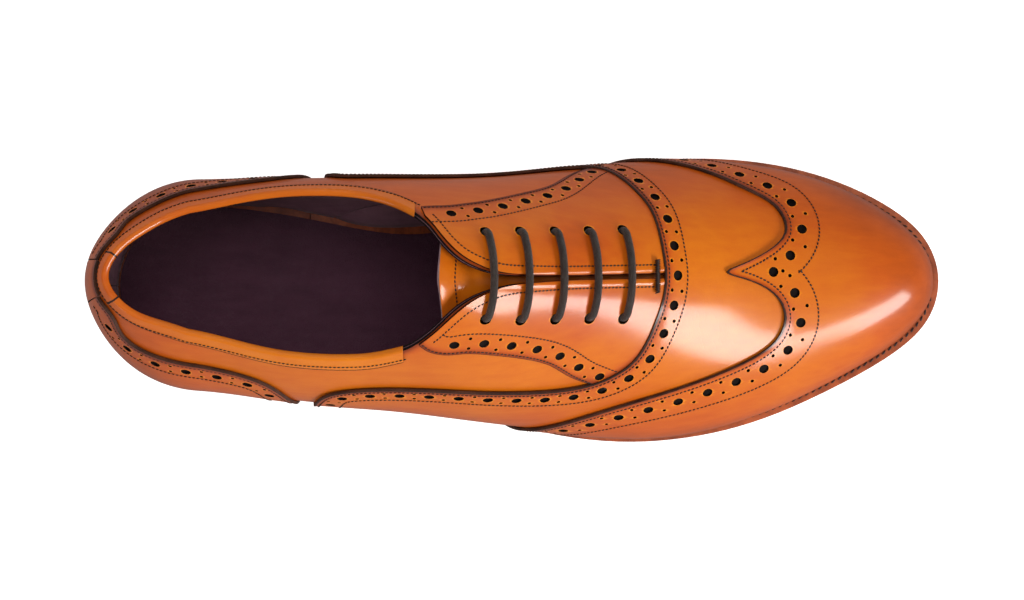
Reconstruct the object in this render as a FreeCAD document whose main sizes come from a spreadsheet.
"""Leather oxford shoe: a full brogue for the right foot, European size 42, on a welted leather sole.

Own frame: +X towards the toe, +Y towards the inner (medial) side of the foot, +Z up, millimetres.
The origin is on the ground, in the middle of the shoe's length and width.
"""
import FreeCAD, Part
import math
import os

Vector = FreeCAD.Vector
doc = FreeCAD.newDocument("oxford_shoe")

# ---------------------------------------------------------------- driving dimensions
SIZES = [
    ("slab_width", 160.0, "width of the blanks that the sole pieces are cut from"),
    ("outsole_thickness", 5.0, "leather outsole"),
    ("welt_thickness", 3.0, "welt, and the cork, shank and rib inside it"),
    ("insole_thickness", 2.5, "leather insole"),
    ("sock_thickness", 1.0, "sock lining glued on the insole"),
    ("seat_gap", 0.05, "glue line between sole layers"),
    ("welt_reach", 4.6, "outsole beyond the upper at the toe and joint"),
    ("waist_reach", 3.4, "outsole beyond the upper at the waist"),
    ("heel_reach", 2.3, "outsole beyond the upper at the heel"),
    ("heel_breast", -70.0, "front face of the heel, along X"),
    ("breast_hollow", 5.0, "depth of the hollow in the heel's front face"),
    ("lift_thickness", 4.1, "one leather heel lift"),
    ("top_piece_thickness", 6.0, "bottom layer of the heel"),
    ("rubber_split", -112.0, "where the leather top piece meets its rubber tip, along X"),
    ("nail_diameter", 1.8, "brass heel nail"),
    ("shank_length", 88.0, "steel shank"),
    ("shank_width", 14.0, "steel shank"),
    ("shank_thickness", 1.6, "steel shank"),
    ("calf_thickness", 1.1, "outer calf leather"),
    ("overlay_thickness", 0.8, "facing overlay, skived"),
    ("lining_thickness", 0.8, "lining leather"),
    ("binding_width", 4.6, "topline binding"),
    ("stiffener_thickness", 1.0, "heel stiffener at its thickest"),
    ("eyelet_pitch", 11.7, "distance from one eyelet to the next"),
    ("eyelet_bore", 4.3, "inside diameter of an eyelet"),
    ("eyelet_wall", 0.45, "wall of an eyelet"),
    ("eyelet_flange", 6.6, "diameter of the eyelet's flange inside the shoe"),
    ("lace_diameter", 2.6, "round waxed lace"),
    ("lace_tip_length", 14.0, "tip on each end of the lace"),
    ("tongue_thickness", 1.2, "tongue leather"),
    ("tongue_half_width", 24.0, "half width of the tongue"),
    ("bartack_length", 11.0, "bar tack across the foot of the lacing gap"),
    ("bartack_diameter", 1.2, "bar tack"),
]

sheet = doc.addObject("Spreadsheet::Sheet", "sizes")
for row, (alias, number, meaning) in enumerate(SIZES, start=1):
    sheet.set(f"A{row}", meaning)
    sheet.set(f"B{row}", str(number))
    sheet.setAlias(f"B{row}", alias)
doc.recompute()


def size(alias):
    """A driving dimension, as the spreadsheet holds it."""
    return float(sheet.get(alias))


# ---------------------------------------------------------------- curves
def natural_spline(xs, ys):
    """A smooth curve y(x) through a few points, level in curvature at its ends."""
    count = len(xs)
    widths = [xs[i + 1] - xs[i] for i in range(count - 1)]
    slopes = [(ys[i + 1] - ys[i]) / widths[i] for i in range(count - 1)]
    diagonal = [1.0] * count
    carried = [0.0] * count
    for i in range(1, count - 1):
        pivot = 2.0 * (widths[i - 1] + widths[i])
        right = 6.0 * (slopes[i] - slopes[i - 1])
        if i > 1:
            factor = widths[i - 1] / diagonal[i - 1]
            pivot -= factor * widths[i - 1]
            right -= factor * carried[i - 1]
        diagonal[i] = pivot
        carried[i] = right
    bends = [0.0] * count
    for i in range(count - 2, 0, -1):
        bends[i] = (carried[i] - widths[i] * bends[i + 1]) / diagonal[i]

    def curve(x):
        i = 0
        while i < count - 2 and x > xs[i + 1]:
            i += 1
        a = xs[i + 1] - x
        b = x - xs[i]
        w = widths[i]
        straight = (ys[i] * a + ys[i + 1] * b) / w
        bend = (bends[i] * (a * a / w - w) * a + bends[i + 1] * (b * b / w - w) * b) / 6.0
        return straight + bend

    return curve


def smooth_step(value, low, high):
    """0 below low, 1 above high, smooth between."""
    share = min(max((value - low) / (high - low), 0.0), 1.0)
    return share * share * (3.0 - 2.0 * share)


# ---------------------------------------------------------------- the last
# The last is the foot form that the upper is pulled over. A station is a place along the shoe's
# side. From the heel's centre line forward it is X itself; round the heel it runs on backwards,
# as if the heel were unrolled, to BACK at the middle of the heel.
TIP_X = 146.0
FAN_X = -112.0
FAN_RADIUS = 36.0
QUARTER_TURN = FAN_RADIUS * math.pi / 2
BACK = FAN_X - QUARTER_TURN
WAY_TO_TIP = TIP_X - BACK
ROOT = math.sqrt(WAY_TO_TIP)

# Each half cross-section is a cubic curve from the feather edge, out to the bulge, over the crown
# to the ridge. Numbers: feather half width, bulge reach, bulge rise, crown reach.
# First the lateral (outer) half, then the medial (inner) half.
SECTIONS = [
    (BACK, (32.8, 43.0, 17.5, 37.0), (32.8, 43.0, 17.5, 37.0)),
    (-140.5, (32.5, 47.0, 17.5, 14.0), (32.4, 45.5, 18.0, 19.0)),
    (-112.0, (32.2, 49.5, 18.0, 6.0), (32.0, 46.5, 19.0, 15.0)),
    (-80.0, (33.0, 57.5, 18.0, 11.0), (29.5, 48.0, 20.0, 27.0)),
    (-45.0, (35.6, 58.5, 18.0, 15.0), (24.0, 56.5, 20.0, 24.0)),
    (-15.0, (40.7, 57.5, 17.0, 24.0), (29.0, 54.5, 19.0, 27.0)),
    (20.0, (49.2, 59.0, 15.0, 26.0), (38.0, 52.0, 17.0, 26.0)),
    (50.0, (51.8, 61.0, 14.0, 29.0), (40.5, 49.5, 16.0, 27.0)),
    (80.0, (48.2, 56.0, 13.0, 31.0), (38.5, 45.2, 14.0, 27.0)),
    (110.0, (36.4, 40.7, 11.0, 24.0), (31.6, 36.4, 11.5, 22.0)),
    (132.0, (22.8, 24.7, 8.0, 15.0), (21.6, 23.9, 8.0, 15.0)),
    (142.0, (12.9, 13.7, 5.5, 8.7), (12.6, 13.5, 5.5, 8.7)),
    (TIP_X, (0.0, 0.0, 0.0, 0.0), (0.0, 0.0, 0.0, 0.0)),
]
# the last's middle line swings across the shoe's X axis: (x, y)
AXIS = [(-150, 4.0), (-80, 3.4), (-45, 2.6), (-15, 2.2), (20, 4.0), (50, 5.7), (80, 7.5), (110, 8.0),
        (132, 7.0), (146, 6.3)]
# height of the ridge above the feather edge: (x, height)
RIDGE = [(-148, 70.0), (-112, 72.0), (-80, 79.0), (-45, 86.5), (-15, 83.0), (20, 68.0), (50, 52.5),
         (80, 38.5), (110, 29.5), (132, 22.0), (142, 14.5), (146, 0.0)]
# underside of the outsole: heel seat, waist, tread, toe spring: (x, z)
UNDERSIDE = [(-150, 20.0), (-110, 19.6), (-80, 18.4), (-45, 12.0), (-15, 5.6), (20, 1.2), (50, 0.0),
             (80, 0.6), (110, 3.6), (132, 7.2), (150, 10.6)]
LAYERS_UNDER_UPPER = size("outsole_thickness") + size("welt_thickness") + size("seat_gap")

axis_y = natural_spline([x for x, _ in AXIS], [y for _, y in AXIS])
underside_z = natural_spline([x for x, _ in UNDERSIDE], [z for _, z in UNDERSIDE])


def to_tip(x):
    """The toe is round, so what closes there is a smooth curve of the root of the distance left."""
    return math.sqrt(max(TIP_X - x, 0.0))


ridge_curve = natural_spline([to_tip(x) for x, _ in reversed(RIDGE)], [h for _, h in reversed(RIDGE)])


def section_curves():
    """One curve for each of the four numbers, from the lateral toe round the heel to the medial toe."""
    lateral = [(to_tip(station) - ROOT, numbers) for station, numbers, _ in reversed(SECTIONS)]
    medial = [(ROOT - to_tip(station), numbers) for station, _, numbers in SECTIONS[1:]]
    knots = lateral + medial
    places = [place for place, _ in knots]
    return [natural_spline(places, [numbers[i] for _, numbers in knots]) for i in range(4)]


SECTION_CURVES = section_curves()


def half_section(side, station):
    """The four control points (reach, z), the foot of the section and its direction."""
    place = side * (ROOT - to_tip(station))
    feather, bulge, rise, crown = (curve(place) for curve in SECTION_CURVES)
    if station < FAN_X:
        angle = (station - BACK) / FAN_RADIUS
        foot = (FAN_X, axis_y(FAN_X))
        across = (-math.cos(angle), side * math.sin(angle))
        ridge_z = underside_z(FAN_X) + ridge_curve(to_tip(FAN_X + across[0] * feather))
    else:
        foot = (station, axis_y(station))
        across = (0.0, float(side))
        ridge_z = underside_z(station) + ridge_curve(to_tip(station))
    feather_z = underside_z(foot[0] + across[0] * feather) + LAYERS_UNDER_UPPER
    ridge_z += LAYERS_UNDER_UPPER
    controls = ((feather, feather_z), (bulge, feather_z + rise), (crown, ridge_z), (0.0, ridge_z))
    return controls, foot, across


def last_point(side, station, v):
    """A point of the last: v is 1 at the feather edge and 0 on the ridge."""
    controls, foot, across = half_section(side, station)
    t = 1.0 - v
    shares = (v ** 3, 3 * v * v * t, 3 * v * t * t, t ** 3)
    reach = sum(share * control[0] for share, control in zip(shares, controls))
    z = sum(share * control[1] for share, control in zip(shares, controls))
    return Vector(foot[0] + across[0] * reach, foot[1] + across[1] * reach, z)


def last_normal(side, station, v):
    """Outward normal of the last, from two small steps along it."""
    step = min(0.4, 0.25 * (TIP_X - station))
    if step < 0.01:
        return Vector(1, 0, 0)
    small = 0.004
    ahead = last_point(side, station + step, v)
    behind = last_point(side, max(station - step, BACK), v)
    lower = last_point(side, station, min(v + small, 1.0))
    upper = last_point(side, station, max(v - small, 0.0))
    normal = (ahead - behind).cross(upper - lower)
    normal.normalize()
    return normal * -side


def skin(side, station, v, depth):
    """A point at a depth above (+) or below (-) the outer face of the quarters."""
    point = last_point(side, station, v) + last_normal(side, station, v) * depth
    seat_z = underside_z(point.x) + LAYERS_UNDER_UPPER
    point.z = seat_z if v > 0.999 else max(point.z, seat_z)
    return point


def across_ridge(x, v, depth):
    """As skin, with v from -1 at the lateral feather edge to +1 at the medial one."""
    return skin(-1 if v < 0 else 1, x, abs(v), depth)


def round_heel(way, v, depth):
    """As skin, with way measured from the back seam: negative lateral, positive medial."""
    return skin(-1 if way < 0 else 1, BACK + abs(way), v, depth)


# ---------------------------------------------------------------- leather pieces on the last
def line_through(points):
    """A smooth line through (place, v) points: gives the place and v at 0 to 1 along it."""
    last_index = len(points) - 1
    marks = [i / last_index for i in range(last_index + 1)]
    place = natural_spline(marks, [p for p, _ in points])
    height = natural_spline(marks, [v for _, v in points])
    return lambda share: (place(share), height(share))


def closed_sheet(outer_grid, inner_grid):
    """A thin solid between two curved faces, closed by four ruled edge faces."""
    outer = Part.BSplineSurface()
    outer.interpolate(outer_grid)
    inner = Part.BSplineSurface()
    inner.interpolate(inner_grid)
    faces = [outer.toShape(), inner.toShape()]
    u0, u1, v0, v1 = outer.bounds()
    a0, a1, b0, b1 = inner.bounds()
    rims = [
        (outer.uIso(u0), inner.uIso(a0)),
        (outer.uIso(u1), inner.uIso(a1)),
        (outer.vIso(v0), inner.vIso(b0)),
        (outer.vIso(v1), inner.vIso(b1)),
    ]
    same_way = 1
    for outer_rim, inner_rim in rims:
        faces.append(Part.makeRuledSurface(outer_rim.toShape(), inner_rim.toShape(), same_way))
    shell = Part.makeShell(faces)
    shell.sewShape()
    solid = Part.Solid(Part.Shell(shell.Faces))
    if solid.Volume < 0:
        solid.reverse()
    return solid


def leather(name, pairs, depths, surface, columns=36, rows=10):
    """A piece of leather: between the two lines that run through pairs, at two depths."""
    first = line_through([(a, b) for a, b, _, _ in pairs])
    second = line_through([(c, d) for _, _, c, d in pairs])
    high, low = depths
    outer_grid = []
    inner_grid = []
    for column in range(columns + 1):
        place_a, v_a = first(column / columns)
        place_b, v_b = second(column / columns)
        outer_row = []
        inner_row = []
        for row in range(rows + 1):
            share = row / rows
            place = place_a + (place_b - place_a) * share
            v = v_a + (v_b - v_a) * share
            outer_row.append(surface(place, v, high(place, v) if callable(high) else high))
            inner_row.append(surface(place, v, low(place, v) if callable(low) else low))
        outer_grid.append(outer_row)
        inner_grid.append(inner_row)
    return feature(name, closed_sheet(outer_grid, inner_grid))


def feature(name, shape):
    """A sub-part whose shape is made here."""
    made = doc.addObject("Part::Feature", name)
    made.Label = name
    made.Shape = shape
    return made


def on_side(side):
    """The surface for pieces that lie on one side of the shoe."""
    return lambda station, v, depth: skin(side, station, min(max(v, 0.0), 1.0), depth)


def over_toe(place, v, depth):
    """The surface for pieces that cross the ridge: place is the root of the way left to the tip."""
    return across_ridge(TIP_X - place * place, min(max(v, -1.0), 1.0), depth)


LATERAL, MEDIAL = -1, 1
SIDE_NAMES = {LATERAL: "lateral", MEDIAL: "medial"}

# depths of the layers, outside to inside
CALF = size("calf_thickness")
CLEAR = 0.05
QUARTER_DEPTHS = (0.0, -CALF)
OVER_QUARTER = (CALF, CLEAR)
OVER_VAMP = (2 * CALF, CALF + CLEAR)
FACING_DEPTHS = (CLEAR + size("overlay_thickness"), CLEAR)
BINDING_DEPTHS = (0.9, 0.35)
STIFFENER_TOP = -CALF - CLEAR
LINING_TOP = STIFFENER_TOP - 0.25


def stiffener_room(way, v):
    """The heel stiffener is full at the back and skived thin towards its edges."""
    full = size("stiffener_thickness")
    return full * (1 - smooth_step(abs(way), 66, 92)) * smooth_step(v, 0.50, 0.66)


def lining_outer(way, v):
    return LINING_TOP - stiffener_room(way, v)


def lining_inner(way, v):
    return lining_outer(way, v) - size("lining_thickness")


# Topline and lacing edge, back to front, and the line where each quarter ends under the vamp:
# (station, v of the top edge, station, v of the bottom edge).
QUARTERS = {
    MEDIAL: [
        (-168.4, 0.35, -168.4, 1.0), (-157, 0.347, -157, 1.0), (-144, 0.378, -144, 1.0),
        (-130, 0.415, -129, 1.0), (-114, 0.435, -113, 1.0), (-94, 0.455, -94, 1.0),
        (-74, 0.445, -78, 1.0), (-58, 0.435, -66, 1.0), (-48, 0.406, -56, 0.93),
        (-41, 0.366, -44, 0.885), (-35, 0.315, -32, 0.87), (-30, 0.25, -21, 0.86),
        (-25.5, 0.17, -12, 0.853), (-20, 0.096, -3, 0.847), (-14, 0.052, 5, 0.84),
        (-6, 0.022, 12, 0.83), (6, 0.013, 21, 0.80), (20, 0.009, 32, 0.70),
        (33, 0.009, 42, 0.53), (46, 0.009, 50, 0.33), (56, 0.009, 57, 0.10),
    ],
    LATERAL: [
        (-168.4, 0.35, -168.4, 1.0), (-157, 0.347, -157, 1.0), (-144, 0.372, -144, 1.0),
        (-130, 0.385, -129, 1.0), (-114, 0.398, -113, 1.0), (-94, 0.427, -95, 1.0),
        (-76, 0.437, -80, 1.0), (-59, 0.43, -67, 1.0), (-48, 0.406, -57, 0.85),
        (-39, 0.362, -44, 0.72), (-32.5, 0.30, -31, 0.668), (-27.5, 0.235, -20, 0.648),
        (-22.5, 0.163, -11, 0.638), (-17, 0.10, -3, 0.63), (-11, 0.057, 5, 0.622),
        (-3, 0.026, 13, 0.612), (8, 0.013, 22, 0.592), (20, 0.009, 31, 0.553),
        (33, 0.009, 41, 0.463), (46, 0.009, 50, 0.30), (56, 0.009, 57, 0.10),
    ],
}
# The facing: lacing edge, and its curved outer edge down to the vamp.
FACINGS = {
    MEDIAL: [
        (-31.5, 0.285, -33, 0.335), (-28.7, 0.24, -29, 0.338), (-25, 0.175, -24, 0.34),
        (-20, 0.108, -19, 0.349), (-14, 0.062, -13, 0.363), (-6, 0.028, -5, 0.393),
        (4, 0.018, 3, 0.43), (14, 0.013, 11, 0.482), (23, 0.012, 17, 0.57),
        (31, 0.012, 22.5, 0.66), (37, 0.012, 29, 0.61), (41.5, 0.012, 35, 0.505),
        (45, 0.012, 40.8, 0.38), (47.5, 0.012, 45.3, 0.24), (48.8, 0.012, 48.2, 0.08),
    ],
    LATERAL: [
        (-31, 0.285, -33.5, 0.315), (-28, 0.247, -30, 0.338), (-24, 0.192, -24, 0.337),
        (-19, 0.128, -18.5, 0.32), (-13, 0.073, -12, 0.314), (-5, 0.032, -4, 0.32),
        (4, 0.019, 4, 0.336), (13, 0.014, 11, 0.366), (21, 0.012, 17, 0.414),
        (28, 0.012, 22.5, 0.448), (34, 0.012, 28.5, 0.418), (39.5, 0.012, 34.5, 0.368),
        (44, 0.012, 40.5, 0.292), (47.2, 0.012, 45.4, 0.18), (48.8, 0.012, 48.3, 0.07),
    ],
}
# The heel foxing (counter): its hooked upper edge, and the feather edge.
COUNTERS = {
    MEDIAL: [
        (-161.3, 0.425, -161.3, 1.0), (-153, 0.427, -153, 1.0), (-147, 0.46, -146, 1.0),
        (-141, 0.51, -139, 1.0), (-130, 0.53, -129, 1.0), (-114, 0.565, -115, 1.0),
        (-100, 0.60, -102, 1.0), (-87, 0.613, -90, 1.0), (-78, 0.66, -81, 1.0),
        (-72.5, 0.79, -74, 1.0), (-70.5, 0.96, -70, 1.0),
    ],
    LATERAL: [
        (-161.3, 0.425, -161.3, 1.0), (-154.5, 0.43, -154, 1.0), (-149, 0.475, -148, 1.0),
        (-143, 0.54, -140, 1.0), (-132, 0.563, -131, 1.0), (-117, 0.562, -118, 1.0),
        (-104, 0.57, -106, 1.0), (-92, 0.588, -95, 1.0), (-83, 0.65, -86, 1.0),
        (-78, 0.79, -79.5, 1.0), (-76.2, 0.96, -75.5, 1.0),
    ],
}
# The vamp: its throat edge from the lateral waist round the lacing to the medial waist, and its
# outer edge, first the feather and then a lap under the wing cap. Here x, v, x, v across the ridge.
VAMP = [
    (-72.5, -0.97, -70, -1.0), (-71.5, -0.80, -63, -1.0), (-68, -0.66, -56, -1.0),
    (-58, -0.59, -46, -1.0), (-41, -0.552, -33, -1.0), (-22, -0.515, -17, -1.0),
    (-5, -0.497, 2, -0.98), (11, -0.485, 22, -0.83), (24, -0.453, 45, -0.67),
    (34, -0.392, 64, -0.56), (41, -0.31, 81, -0.47), (46.2, -0.185, 96, -0.33),
    (49, -0.085, 98, -0.15), (49.8, 0.0, 84, 0.0), (49, 0.095, 98, 0.17),
    (46.2, 0.27, 98, 0.36), (41, 0.41, 85, 0.52), (34.5, 0.545, 71, 0.66),
    (27, 0.66, 57, 0.81), (16, 0.715, 43, 0.95), (2, 0.715, 27, 1.0),
    (-15, 0.68, 6, 1.0), (-34, 0.64, -16, 1.0), (-50, 0.61, -35, 1.0),
    (-61, 0.60, -49, 1.0), (-66.5, 0.68, -57, 1.0), (-68.5, 0.82, -62, 1.0), (-69, 0.97, -66, 1.0),
]
# The wing cap's edge, from the lateral waist over the two wings and the point between them.
WING_EDGE = [
    (-8.0, -1.0), (2, -0.83), (15, -0.69), (31, -0.575), (48, -0.487), (64, -0.42),
    (78, -0.362), (88, -0.30), (92.3, -0.21), (90.6, -0.115), (84, -0.05), (76, -0.016),
    (71.5, 0.005), (76.5, 0.032), (84.5, 0.078), (91, 0.145), (92.8, 0.235), (88.5, 0.35),
    (79, 0.44), (68, 0.55), (56, 0.67), (43, 0.80), (32, 0.92), (25, 1.0),
]


def under_throat():
    """The line where the quarters end under the vamp, from the lateral feather to the medial one."""
    lateral = [(station, -v) for _, _, station, v in QUARTERS[LATERAL] if station > -68]
    medial = [(station, v) for _, _, station, v in QUARTERS[MEDIAL] if station > -67]
    ahead = 0.8
    line = lateral + medial[::-1]
    return [(x + ahead, v * (1 + 0.012 * (1 - abs(v)))) for x, v in line]


def to_toe(edge, front_x):
    """Pairs from an edge across the ridge forward to front_x, spread evenly over the toe."""
    last_index = len(edge) - 1
    return [
        (to_tip(x), v, to_tip(front_x), -1.0 + 2.0 * i / last_index)
        for i, (x, v) in enumerate(edge)
    ]


TOE_END = TIP_X - 0.05
sides = (LATERAL, MEDIAL)
quarters = {}
facings = {}
linings = {}
for side in sides:
    name = SIDE_NAMES[side]
    surface = on_side(side)
    quarters[side] = leather(f"quarter_{name}_sheet", QUARTERS[side], QUARTER_DEPTHS, surface, 64, 12)
    facings[side] = leather(f"facing_{name}_sheet", FACINGS[side], FACING_DEPTHS, surface, 42, 8)
    leather(f"counter_{name}", COUNTERS[side], OVER_QUARTER, surface, 40, 10)
    lining_depths = (
        lambda station, v: lining_outer(station - BACK, v),
        lambda station, v: lining_inner(station - BACK, v),
    )
    linings[side] = leather(f"quarter_lining_{name}_sheet", QUARTERS[side], lining_depths, surface, 64, 12)

leather("vamp", [(to_tip(a), b, to_tip(c), d) for a, b, c, d in VAMP], OVER_QUARTER, over_toe, 80, 10)
leather("wing_cap", to_toe(WING_EDGE, TOE_END), OVER_VAMP, over_toe, 72, 16)
INTERLINING_END = 102.0
interlining_depths = (-CLEAR, LINING_TOP + 0.1)
leather("vamp_interlining", to_toe(under_throat(), INTERLINING_END), interlining_depths, over_toe, 60, 14)
toe_puff_edge = [(INTERLINING_END + 2.0, -1.0 + 0.1 * i) for i in range(21)]
toe_puff_depths = (CALF, LINING_TOP + 0.1)
leather("toe_puff", to_toe(toe_puff_edge, TOE_END), toe_puff_depths, over_toe, 40, 12)
vamp_lining_depths = (LINING_TOP, LINING_TOP - size("lining_thickness"))
leather("vamp_lining", to_toe(under_throat(), TOE_END), vamp_lining_depths, over_toe, 60, 18)

# pieces that run round the heel, in way from the back seam
STRIP_HALF = 6.8
STRIP_TOP = 0.415
back_strip = [(-STRIP_HALF, STRIP_TOP, -STRIP_HALF, 1.0), (0, STRIP_TOP - 0.005, 0, 1.0),
              (STRIP_HALF, STRIP_TOP, STRIP_HALF, 1.0)]
leather("back_strip", back_strip, OVER_QUARTER, round_heel, 8, 12)

STIFFENER = [(-92, 0.93), (-84, 0.72), (-62, 0.57), (-34, 0.53), (0, 0.51), (34, 0.53), (62, 0.57),
             (84, 0.72), (92, 0.93)]
stiffener_depths = (STIFFENER_TOP, lambda way, v: STIFFENER_TOP - 0.15 - stiffener_room(way, v))
leather("heel_stiffener", [(w, v, w, 1.0) for w, v in STIFFENER], stiffener_depths, round_heel, 48, 8)

BINDING_END = -34.0
BINDING_V = size("binding_width") / 90.0
lateral_top = [(BACK - station, v) for station, v, _, _ in QUARTERS[LATERAL] if station < BINDING_END]
medial_top = [(station - BACK, v) for station, v, _, _ in QUARTERS[MEDIAL] if station < BINDING_END]
topline = lateral_top[::-1] + medial_top[1:]
binding = [(way, v, way, v + BINDING_V) for way, v in topline]
leather("topline_binding", binding, BINDING_DEPTHS, round_heel, 72, 3)

# ---------------------------------------------------------------- tongue
TONGUE_TOP_X = -25.0
TONGUE_FRONT_X = 53.0
TONGUE_DEPTH = -6.2
TONGUE_LIFT = 3.0


def tongue_face(x):
    """Depth of the tongue's outer face: the lace runs over its middle, its ends lie close up."""
    near_top = 1 - smooth_step(x, -25, -17)
    near_throat = smooth_step(x, 42, 53)
    return TONGUE_DEPTH + TONGUE_LIFT * max(0.6 * near_top, near_throat)


def tongue_width(x):
    """Half the tongue's width as v: it narrows towards the throat."""
    section_length = 88.0 - 0.35 * (x + 25.0)
    return size("tongue_half_width") * (1 - 0.25 * smooth_step(x, 10, 53)) / section_length


tongue_pairs = []
for x in (TONGUE_TOP_X, -22, -16, -8, 2, 12, 22, 32, 40, 47, TONGUE_FRONT_X):
    half = tongue_width(x) * (0.86 if x == TONGUE_TOP_X else 1.0)
    tongue_pairs.append((to_tip(x), -half, to_tip(x), half))
tongue_leather = size("tongue_thickness")
tongue_depths = (
    lambda place, v: tongue_face(TIP_X - place * place),
    lambda place, v: tongue_face(TIP_X - place * place) - tongue_leather,
)
leather("tongue", tongue_pairs, tongue_depths, over_toe, 30, 12)
tongue_lining_depths = (
    lambda place, v: tongue_face(TIP_X - place * place) - tongue_leather - CLEAR,
    lambda place, v: tongue_face(TIP_X - place * place) - tongue_leather - CLEAR - 0.8,
)
leather("tongue_lining", tongue_pairs, tongue_lining_depths, over_toe, 30, 12)

# ---------------------------------------------------------------- eyelets
EYELET_COUNT = 5
FIRST_EYELET_X = 35.4
EYELET_V = {MEDIAL: (0.208, 0.20), LATERAL: (0.168, 0.165)}
EYELET_OUT = 0.7
EYELET_IN = -2.45
FLANGE_THICKNESS = 0.25


def eyelet_place(side, index):
    """Station and v of an eyelet, counted from the throat."""
    station = FIRST_EYELET_X - index * size("eyelet_pitch")
    near, far = EYELET_V[side]
    v = near + (far - near) * index / (EYELET_COUNT - 1)
    return station, v


def eyelet_frame(side, index, depth):
    """A placement at the eyelet, at a depth, with its Z axis straight out of the leather."""
    station, v = eyelet_place(side, index)
    normal = last_normal(side, station, v)
    turn = FreeCAD.Rotation(Vector(0, 0, 1), normal)
    return FreeCAD.Placement(last_point(side, station, v) + normal * depth, turn)


PUNCH_DEPTH = -8.0
for side in sides:
    name = SIDE_NAMES[side]
    punches = []
    for index in range(EYELET_COUNT):
        punch = doc.addObject("Part::Cylinder", f"punch_{name}_{index + 1}")
        punch.setExpression("Radius", "sizes.eyelet_bore / 2 + sizes.eyelet_wall + 0.05")
        punch.Height = 16.0
        punch.Placement = eyelet_frame(side, index, PUNCH_DEPTH)
        punches.append(punch)
    punch_set = doc.addObject("Part::Compound", f"punches_{name}")
    punch_set.Links = punches
    for node, blank in (("quarter", quarters), ("facing", facings), ("quarter_lining", linings)):
        cut = doc.addObject("Part::Cut", f"{node}_{name}")
        cut.Label = f"{node}_{name}"
        cut.Base = blank[side]
        cut.Tool = punch_set

eyelet = doc.addObject("PartDesign::Body", "eyelet_master")


def origin_plane(body, role):
    """One of a body's own origin planes."""
    return next(item for item in body.Origin.OriginFeatures if item.Role == role)


def sketch_on(body, role, name, geometry):
    """A sketch on one of the body's own origin planes, holding the given lines and curves."""
    sketch = body.newObject("Sketcher::SketchObject", name)
    sketch.AttachmentSupport = [(origin_plane(body, role), "")]
    sketch.MapMode = "FlatFace"
    for item in geometry:
        sketch.addGeometry(item, False)
    return sketch


def polygon(points):
    """Straight sketch lines round the points, back to the first."""
    return [Part.LineSegment(a, b) for a, b in zip(points, points[1:] + points[:1])]


bore_radius = size("eyelet_bore") / 2
barrel_radius = bore_radius + size("eyelet_wall")
flange_radius = size("eyelet_flange") / 2
eyelet_outline = [
    Vector(bore_radius, EYELET_IN - FLANGE_THICKNESS, 0),
    Vector(flange_radius, EYELET_IN - FLANGE_THICKNESS, 0),
    Vector(flange_radius, EYELET_IN, 0),
    Vector(barrel_radius, EYELET_IN, 0),
    Vector(barrel_radius, EYELET_OUT, 0),
    Vector(bore_radius, EYELET_OUT, 0),
]
eyelet_sketch = sketch_on(eyelet, "XZ_Plane", "eyelet_outline", polygon(eyelet_outline))
eyelet_turned = eyelet.newObject("PartDesign::Revolution", "eyelet_turned")
eyelet_turned.Profile = eyelet_sketch
eyelet_turned.ReferenceAxis = (eyelet_sketch, ["V_Axis"])
eyelet_turned.Angle = 360.0
doc.recompute()

eyelet_copies = []
for side in sides:
    for index in range(EYELET_COUNT):
        copy = eyelet.Shape.copy()
        copy.Placement = eyelet_frame(side, index, 0.0)
        eyelet_copies.append(copy)
feature("eyelets", Part.makeCompound(eyelet_copies))

# ---------------------------------------------------------------- lace
LACE = size("lace_diameter")
LACE_OUT = FACING_DEPTHS[0] + LACE / 2 + 0.5
LACE_IN = EYELET_IN - FLANGE_THICKNESS - LACE / 2 - 0.35
SHOULDER_OUT = FACING_DEPTHS[0] + LACE / 2 + 0.75
CROWN_OUT = FACING_DEPTHS[0] + LACE / 2 + 0.55
SHOULDER_BOW = 1.6
CROWN_BOW = 2.1
SIDESTEP = 0.040
TAIL_FRONT_X = 52.0


def at_eyelet(side, index, depth):
    """A route point on an eyelet's own axis."""
    return eyelet_frame(side, index, depth).Base


def beside_eyelet(side, index, step):
    """A route point beside an eyelet, inside the shoe: step in v, away from the ridge."""
    station, v = eyelet_place(side, index)
    return skin(side, station, v + step, LACE_IN)


def bar(start_side, index):
    """Out along one eyelet's axis, over the facings and the gap between them, and in at the other."""
    halves = []
    for side in (start_side, -start_side):
        station, v = eyelet_place(side, index)
        halves.append([
            at_eyelet(side, index, LACE_IN),
            at_eyelet(side, index, LACE_OUT),
            skin(side, station + SHOULDER_BOW, v / 2, SHOULDER_OUT),
        ])
    near, far = halves
    return near + [across_ridge(station + CROWN_BOW, 0.0, CROWN_OUT)] + far[::-1]


def tail(side, index, steps, front_x):
    """The end of the lace, tucked in between the lining and the tongue."""
    station, v = eyelet_place(side, index)
    points = []
    for share, step in steps:
        points.append(skin(side, station + (front_x - station) * share, v + step, LACE_IN))
    return points


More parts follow.
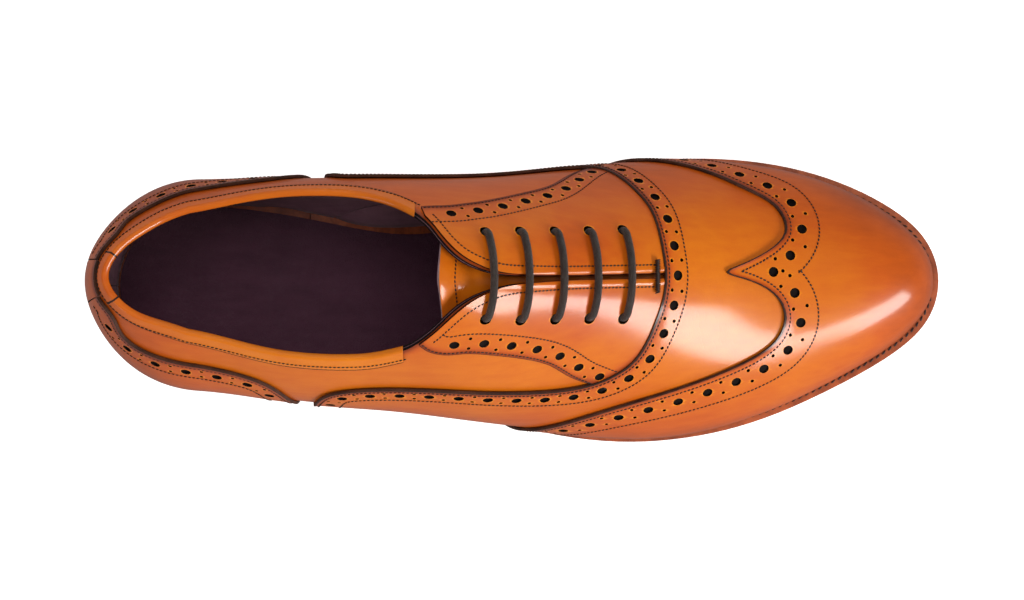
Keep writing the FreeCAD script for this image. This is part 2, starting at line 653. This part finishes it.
def lace_route():
    """Straight bars: the first bar's ends run under the facings, one to bars 2 and 4, one to 3 and 5."""
    first_bar = bar(LATERAL, 0)
    # from the first bar's lateral end: up to bar 2, across, up to bar 4, across, tail
    one_way = bar(LATERAL, 1) + [beside_eyelet(MEDIAL, 2, -SIDESTEP)] + bar(MEDIAL, 3)
    one_way += tail(LATERAL, 3, [(0.12, 0.06), (0.32, 0.15), (0.56, 0.21), (0.82, 0.23)], TAIL_FRONT_X)
    # from the first bar's medial end: up to bar 3, across, up to bar 5, across, tail
    other_way = [beside_eyelet(MEDIAL, 1, SIDESTEP)] + bar(MEDIAL, 2)
    other_way += [beside_eyelet(LATERAL, 3, -SIDESTEP)] + bar(LATERAL, 4)
    other_way += tail(MEDIAL, 4, [(0.10, 0.06), (0.26, 0.14), (0.46, 0.20), (0.68, 0.23), (0.90, 0.24)],
                      TAIL_FRONT_X)
    return one_way[::-1] + first_bar + other_way


def rounded_route(points):
    """Straight runs joined by tangent arcs, each as large as its two runs allow."""
    share_of_run = 0.45
    edges = []
    radii = []
    start = points[0]
    for before, corner, after in zip(points, points[1:], points[2:]):
        back = before - corner
        on = after - corner
        tangent = share_of_run * min(back.Length, on.Length)
        back_way = Vector(back).normalize()
        on_way = Vector(on).normalize()
        turn = math.pi - back_way.getAngle(on_way)
        radius = tangent / math.tan(turn / 2)
        radii.append(radius)
        enter = corner + back_way * tangent
        leave = corner + on_way * tangent
        middle_way = (back_way + on_way).normalize()
        middle = corner + middle_way * (radius / math.cos(turn / 2) - radius)
        edges.append(Part.LineSegment(start, enter).toShape())
        edges.append(Part.Arc(enter, middle, leave).toShape())
        start = leave
    edges.append(Part.LineSegment(start, points[-1]).toShape())
    return edges, radii


def tube(edges, diameter):
    """A round cord along a chain of tangent lines and arcs, piece by piece, joined into one solid."""
    path = Part.Wire(edges)
    start = edges[0].Vertexes[0].Point
    along = edges[0].tangentAt(edges[0].FirstParameter)
    ring = Part.Wire([Part.makeCircle(diameter / 2, start, along)])
    return path.makePipeShell([ring], True, False), path.Length


route = lace_route()
lace_edges, lace_radii = rounded_route(route)
lace_solid, lace_length = tube(lace_edges, LACE)
feature("lace", lace_solid)
section_area = math.pi * LACE * LACE / 4
print(f"lace length {lace_length:.1f} mm, volume {lace_solid.Volume:.1f},"
      f" section times length {section_area * lace_length:.1f}")
print("lace radii", " ".join(f"{radius:.1f}" for radius in lace_radii))

tips = []
for end, inner_point in ((route[0], route[1]), (route[-1], route[-2])):
    direction = (end - inner_point).normalize()
    tips.append(Part.makeCylinder(LACE / 2, size("lace_tip_length"), end, direction))
feature("lace_tips", Part.makeCompound(tips))

bartack = doc.addObject("Part::Cylinder", "throat_bartack")
bartack.setExpression("Radius", "sizes.bartack_diameter / 2")
bartack.setExpression("Height", "sizes.bartack_length")
BARTACK_X = 46.8
bartack_centre = across_ridge(BARTACK_X, 0.0, CALF + 0.75)
bartack.Placement = FreeCAD.Placement(
    bartack_centre - Vector(0, size("bartack_length") / 2, 0),
    FreeCAD.Rotation(Vector(0, 0, 1), Vector(0, 1, 0)),
)

# ---------------------------------------------------------------- sole and heel
OUTSOLE = size("outsole_thickness")
WELT = size("welt_thickness")
GAP = size("seat_gap")
REACH = natural_spline(
    [-150, -90, -60, -30, 0, 30, 80, 146],
    [size("heel_reach"), size("heel_reach"), size("waist_reach"), size("waist_reach"),
     size("welt_reach") - 0.6, size("welt_reach"), size("welt_reach"), size("welt_reach") - 0.3],
)


def feather_outline(inset, count=34):
    """Plan outline round the feather edge, moved out (-) or in (+), as points on a closed curve."""
    ways = []
    for i in range(count):
        share = i / count
        place = ROOT * (1 - 2 * share) if share <= 0.5 else -ROOT * (2 * share - 1)
        ways.append(place)
    points = []
    for place in ways:
        side = MEDIAL if place >= 0 else LATERAL
        station = TIP_X - (ROOT - abs(place)) ** 2
        points.append(last_point(side, station, 1.0))
    outline = []
    for i, point in enumerate(points):
        chord = points[(i + 1) % count] - points[i - 1]
        outward = Vector(chord.y, -chord.x, 0).normalize()
        moved = REACH(point.x) if inset is None else -inset
        outline.append(Vector(point.x, point.y, 0) + outward * moved)
    return outline


def closed_curve(points):
    """A smooth closed sketch curve through the points."""
    curve = Part.BSplineCurve()
    curve.interpolate(points, PeriodicFlag=True)
    return curve


def height_curve(height, low_x=-156.0, high_x=156.0, steps=13):
    """A sketch curve of a height over X."""
    xs = [low_x + (high_x - low_x) * i / (steps - 1) for i in range(steps)]
    curve = Part.BSplineCurve()
    curve.interpolate([Vector(x, height(x), 0) for x in xs])
    return curve


def blank(name, bottom, top, low_x=-156.0, high_x=156.0):
    """A curved slab, padded from its side profile: bottom and top are heights over X."""
    body = doc.addObject("PartDesign::Body", name)
    body.Label = name
    lower = height_curve(bottom, low_x, high_x)
    upper = height_curve(top, low_x, high_x)
    profile = [
        lower,
        Part.LineSegment(lower.EndPoint, upper.EndPoint),
        upper,
        Part.LineSegment(upper.StartPoint, lower.StartPoint),
    ]
    pad = body.newObject("PartDesign::Pad", f"{name}_slab")
    pad.Profile = sketch_on(body, "XZ_Plane", f"{name}_profile", profile)
    pad.SideType = "Symmetric"
    pad.setExpression("Length", "sizes.slab_width")
    return body


FRAME_CORNERS = [Vector(-190, -110, 0), Vector(190, -110, 0), Vector(190, 110, 0), Vector(-190, 110, 0)]


def pocket(body, name, geometry):
    """Cut right through, above and below the XY plane."""
    cut = body.newObject("PartDesign::Pocket", name)
    cut.Profile = sketch_on(body, "XY_Plane", f"{name}_sketch", geometry)
    cut.SideType = "Symmetric"
    cut.Type = "ThroughAll"
    return cut


def trim(body, outline):
    """Keep only what lies inside the outline."""
    pocket(body, f"{body.Name}_trim", outline + polygon(FRAME_CORNERS))


def level(offset):
    """A height over X that follows the outsole's underside."""
    return lambda x: underside_z(x) + offset


outer_outline = [closed_curve(feather_outline(None))]
INSOLE_INSET = 3.9
RIB_OUTER = 5.6
RIB_INNER = 7.6
outsole = blank("outsole", level(0.0), level(OUTSOLE))
trim(outsole, outer_outline)

WELT_BACK_X = -74.0
layer_low = OUTSOLE + GAP
layer_high = OUTSOLE + WELT
for name, low_x, high_x in (("welt", WELT_BACK_X, 156.0), ("heel_rand", -156.0, WELT_BACK_X - 0.3)):
    ring = blank(name, level(layer_low), level(layer_high), low_x, high_x)
    trim(ring, outer_outline)
    pocket(ring, f"{name}_inside", [closed_curve(feather_outline(RIB_OUTER - 0.2))])

RIB_BACK_X = -66.0
rib = blank("insole_rib", level(layer_low), level(layer_high), RIB_BACK_X, 156.0)
trim(rib, [closed_curve(feather_outline(RIB_OUTER))])
pocket(rib, "insole_rib_inside", [closed_curve(feather_outline(RIB_INNER))])

CORK_BACK_X = -4.0
cork = blank("cork_filler", level(layer_low), level(layer_high), CORK_BACK_X, 156.0)
trim(cork, [closed_curve(feather_outline(RIB_INNER + 0.2))])

SHANK_FRONT_X = CORK_BACK_X - 4.0
shank_back_x = SHANK_FRONT_X - size("shank_length")
shank = blank("steel_shank", level(layer_low + 0.6), level(layer_low + 0.6 + size("shank_thickness")),
              shank_back_x, SHANK_FRONT_X)
shank_y = axis_y((SHANK_FRONT_X + shank_back_x) / 2)
half_shank = size("shank_width") / 2
trim(shank, polygon([
    Vector(shank_back_x - 2, shank_y - half_shank, 0), Vector(SHANK_FRONT_X + 2, shank_y - half_shank, 0),
    Vector(SHANK_FRONT_X + 2, shank_y + half_shank, 0), Vector(shank_back_x - 2, shank_y + half_shank, 0),
]))

insole_low = OUTSOLE + WELT + GAP
insole_high = insole_low + size("insole_thickness")
insole = blank("insole", level(insole_low), level(insole_high))
trim(insole, [closed_curve(feather_outline(INSOLE_INSET))])
sock = blank("sock_lining", level(insole_high + GAP), level(insole_high + GAP + size("sock_thickness")))
trim(sock, [closed_curve(feather_outline(INSOLE_INSET))])


def heel_outline(inset, front_x=None):
    """Plan outline of a heel layer: the outsole's edge, and a hollowed breast at the front."""
    breast = size("heel_breast") if front_x is None else front_x
    hollow = size("breast_hollow") if front_x is None else 0.0
    points = [p for p in feather_outline(None, 68) if p.x < breast + 6]
    points.sort(key=lambda p: math.atan2(p.y - axis_y(FAN_X), FAN_X + 60 - p.x))
    centre = Vector(FAN_X, axis_y(FAN_X), 0)
    shrunk = [p + (centre - p).normalize() * inset for p in points]
    ends = []
    for near, far in ((shrunk[0], shrunk[1]), (shrunk[-1], shrunk[-2])):
        share = (breast - far.x) / (near.x - far.x)
        ends.append(far + (near - far) * share)
    inside = [p for p in shrunk if p.x < breast - 3]
    edge = Part.BSplineCurve()
    edge.interpolate([ends[0]] + inside + [ends[1]])
    if hollow:
        middle = Vector(breast - hollow, (ends[0].y + ends[1].y) / 2, 0)
        front = Part.Arc(ends[1], middle, ends[0])
    else:
        front = Part.LineSegment(ends[1], ends[0])
    return [edge, front]


TOP_PIECE = size("top_piece_thickness")
LIFT = size("lift_thickness")
LIFT_COUNT = 3
HEEL_TAPER = 0.45


def plate(name, outline, expression, height):
    """A flat piece: a pad of its outline, lifted to its height."""
    body = doc.addObject("PartDesign::Body", name)
    body.Label = name
    pad = body.newObject("PartDesign::Pad", f"{name}_pad")
    pad.Profile = sketch_on(body, "XY_Plane", f"{name}_outline", outline)
    pad.setExpression("Length", expression)
    body.Placement = FreeCAD.Placement(Vector(0, 0, height), FreeCAD.Rotation())
    return body


def nail_circles():
    """Five nails round the back of the heel, inside its edge."""
    inside = 7.5
    nails = []
    for turn in (-76, -38, 0, 38, 76):
        side = LATERAL if turn < 0 else MEDIAL
        edge = last_point(side, BACK + math.radians(abs(turn)) * FAN_RADIUS, 1.0)
        centre = Vector(FAN_X, axis_y(FAN_X), 0)
        spot = Vector(edge.x, edge.y, 0)
        nails.append(spot + (centre - spot).normalize() * inside)
    return nails


def drill(body, radius):
    """Nail holes through a flat layer."""
    circles = [Part.Circle(spot, Vector(0, 0, 1), radius) for spot in nail_circles()]
    pocket(body, f"{body.Name}_nail_holes", circles)


nail_hole = size("nail_diameter") / 2 + 0.02
full_heel = heel_outline(LIFT_COUNT * HEEL_TAPER)
rubber = plate("heel_rubber_tip", heel_outline(LIFT_COUNT * HEEL_TAPER, front_x=size("rubber_split")),
               "sizes.top_piece_thickness", 0.0)
drill(rubber, nail_hole)
top_piece = plate("heel_top_piece", full_heel, "sizes.top_piece_thickness", 0.0)
split = size("rubber_split") + 0.1
pocket(top_piece, "heel_top_piece_split",
       polygon([Vector(-190, -90, 0), Vector(split, -90, 0), Vector(split, 90, 0), Vector(-190, 90, 0)]))
for number in range(LIFT_COUNT - 1):
    height = TOP_PIECE + GAP + number * (LIFT + GAP)
    lift = plate(f"heel_lift_{number + 1}", heel_outline((LIFT_COUNT - 1 - number) * HEEL_TAPER),
                 "sizes.lift_thickness", height)
    if number == 0:
        drill(lift, nail_hole)
seat_low = TOP_PIECE + GAP + (LIFT_COUNT - 1) * (LIFT + GAP)
seat_lift = blank("heel_seat_lift", lambda x: seat_low, level(-GAP), -156.0, -40.0)
trim(seat_lift, heel_outline(0.0))

nail_pins = []
for number, spot in enumerate(nail_circles(), start=1):
    pin = doc.addObject("Part::Cylinder", f"heel_nail_{number}")
    pin.setExpression("Radius", "sizes.nail_diameter / 2")
    pin.setExpression("Height", "sizes.top_piece_thickness + sizes.lift_thickness - 0.4")
    pin.Placement = FreeCAD.Placement(spot + Vector(0, 0, 0.2), FreeCAD.Rotation())
    nail_pins.append(pin)
nails = doc.addObject("Part::Compound", "heel_nails")
nails.Label = "heel_nails"
nails.Links = nail_pins

doc.recompute()

# ---------------------------------------------------------------- check and write
NODES = [
    "outsole", "welt", "heel_rand", "insole_rib", "cork_filler", "steel_shank", "insole", "sock_lining",
    "heel_seat_lift", "heel_lift_2", "heel_lift_1", "heel_top_piece", "heel_rubber_tip", "heel_nails",
    "toe_puff", "heel_stiffener", "vamp_interlining", "vamp_lining",
    "quarter_lining_medial", "quarter_lining_lateral", "quarter_medial", "quarter_lateral",
    "vamp", "wing_cap", "facing_medial", "facing_lateral", "counter_medial", "counter_lateral",
    "back_strip", "topline_binding", "eyelets", "lace", "lace_tips", "throat_bartack",
    "tongue", "tongue_lining",
]
for item in doc.Objects:
    if "Invalid" in item.State or "Error" in item.State:
        raise RuntimeError(f"{item.Name} failed: {item.State}")
whole = FreeCAD.BoundBox()
parts = {}
for node in NODES:
    part = next(item for item in doc.Objects if item.Label == node)
    if part.Shape.isNull() or not part.Shape.isValid():
        raise RuntimeError(f"{node} has no valid shape")
    if part.Shape.Volume <= 0 or not part.Shape.Solids:
        raise RuntimeError(f"{node} is not solid")
    parts[node] = part
    whole.add(part.Shape.BoundBox)
os.makedirs("parts", exist_ok=True)
for node, part in parts.items():
    part.Shape.exportStep(f"parts/{node}.step")
print(f"{len(parts)} nodes; box {whole.XMin:.1f} {whole.YMin:.1f} {whole.ZMin:.1f}"
      f" to {whole.XMax:.1f} {whole.YMax:.1f} {whole.ZMax:.1f}")
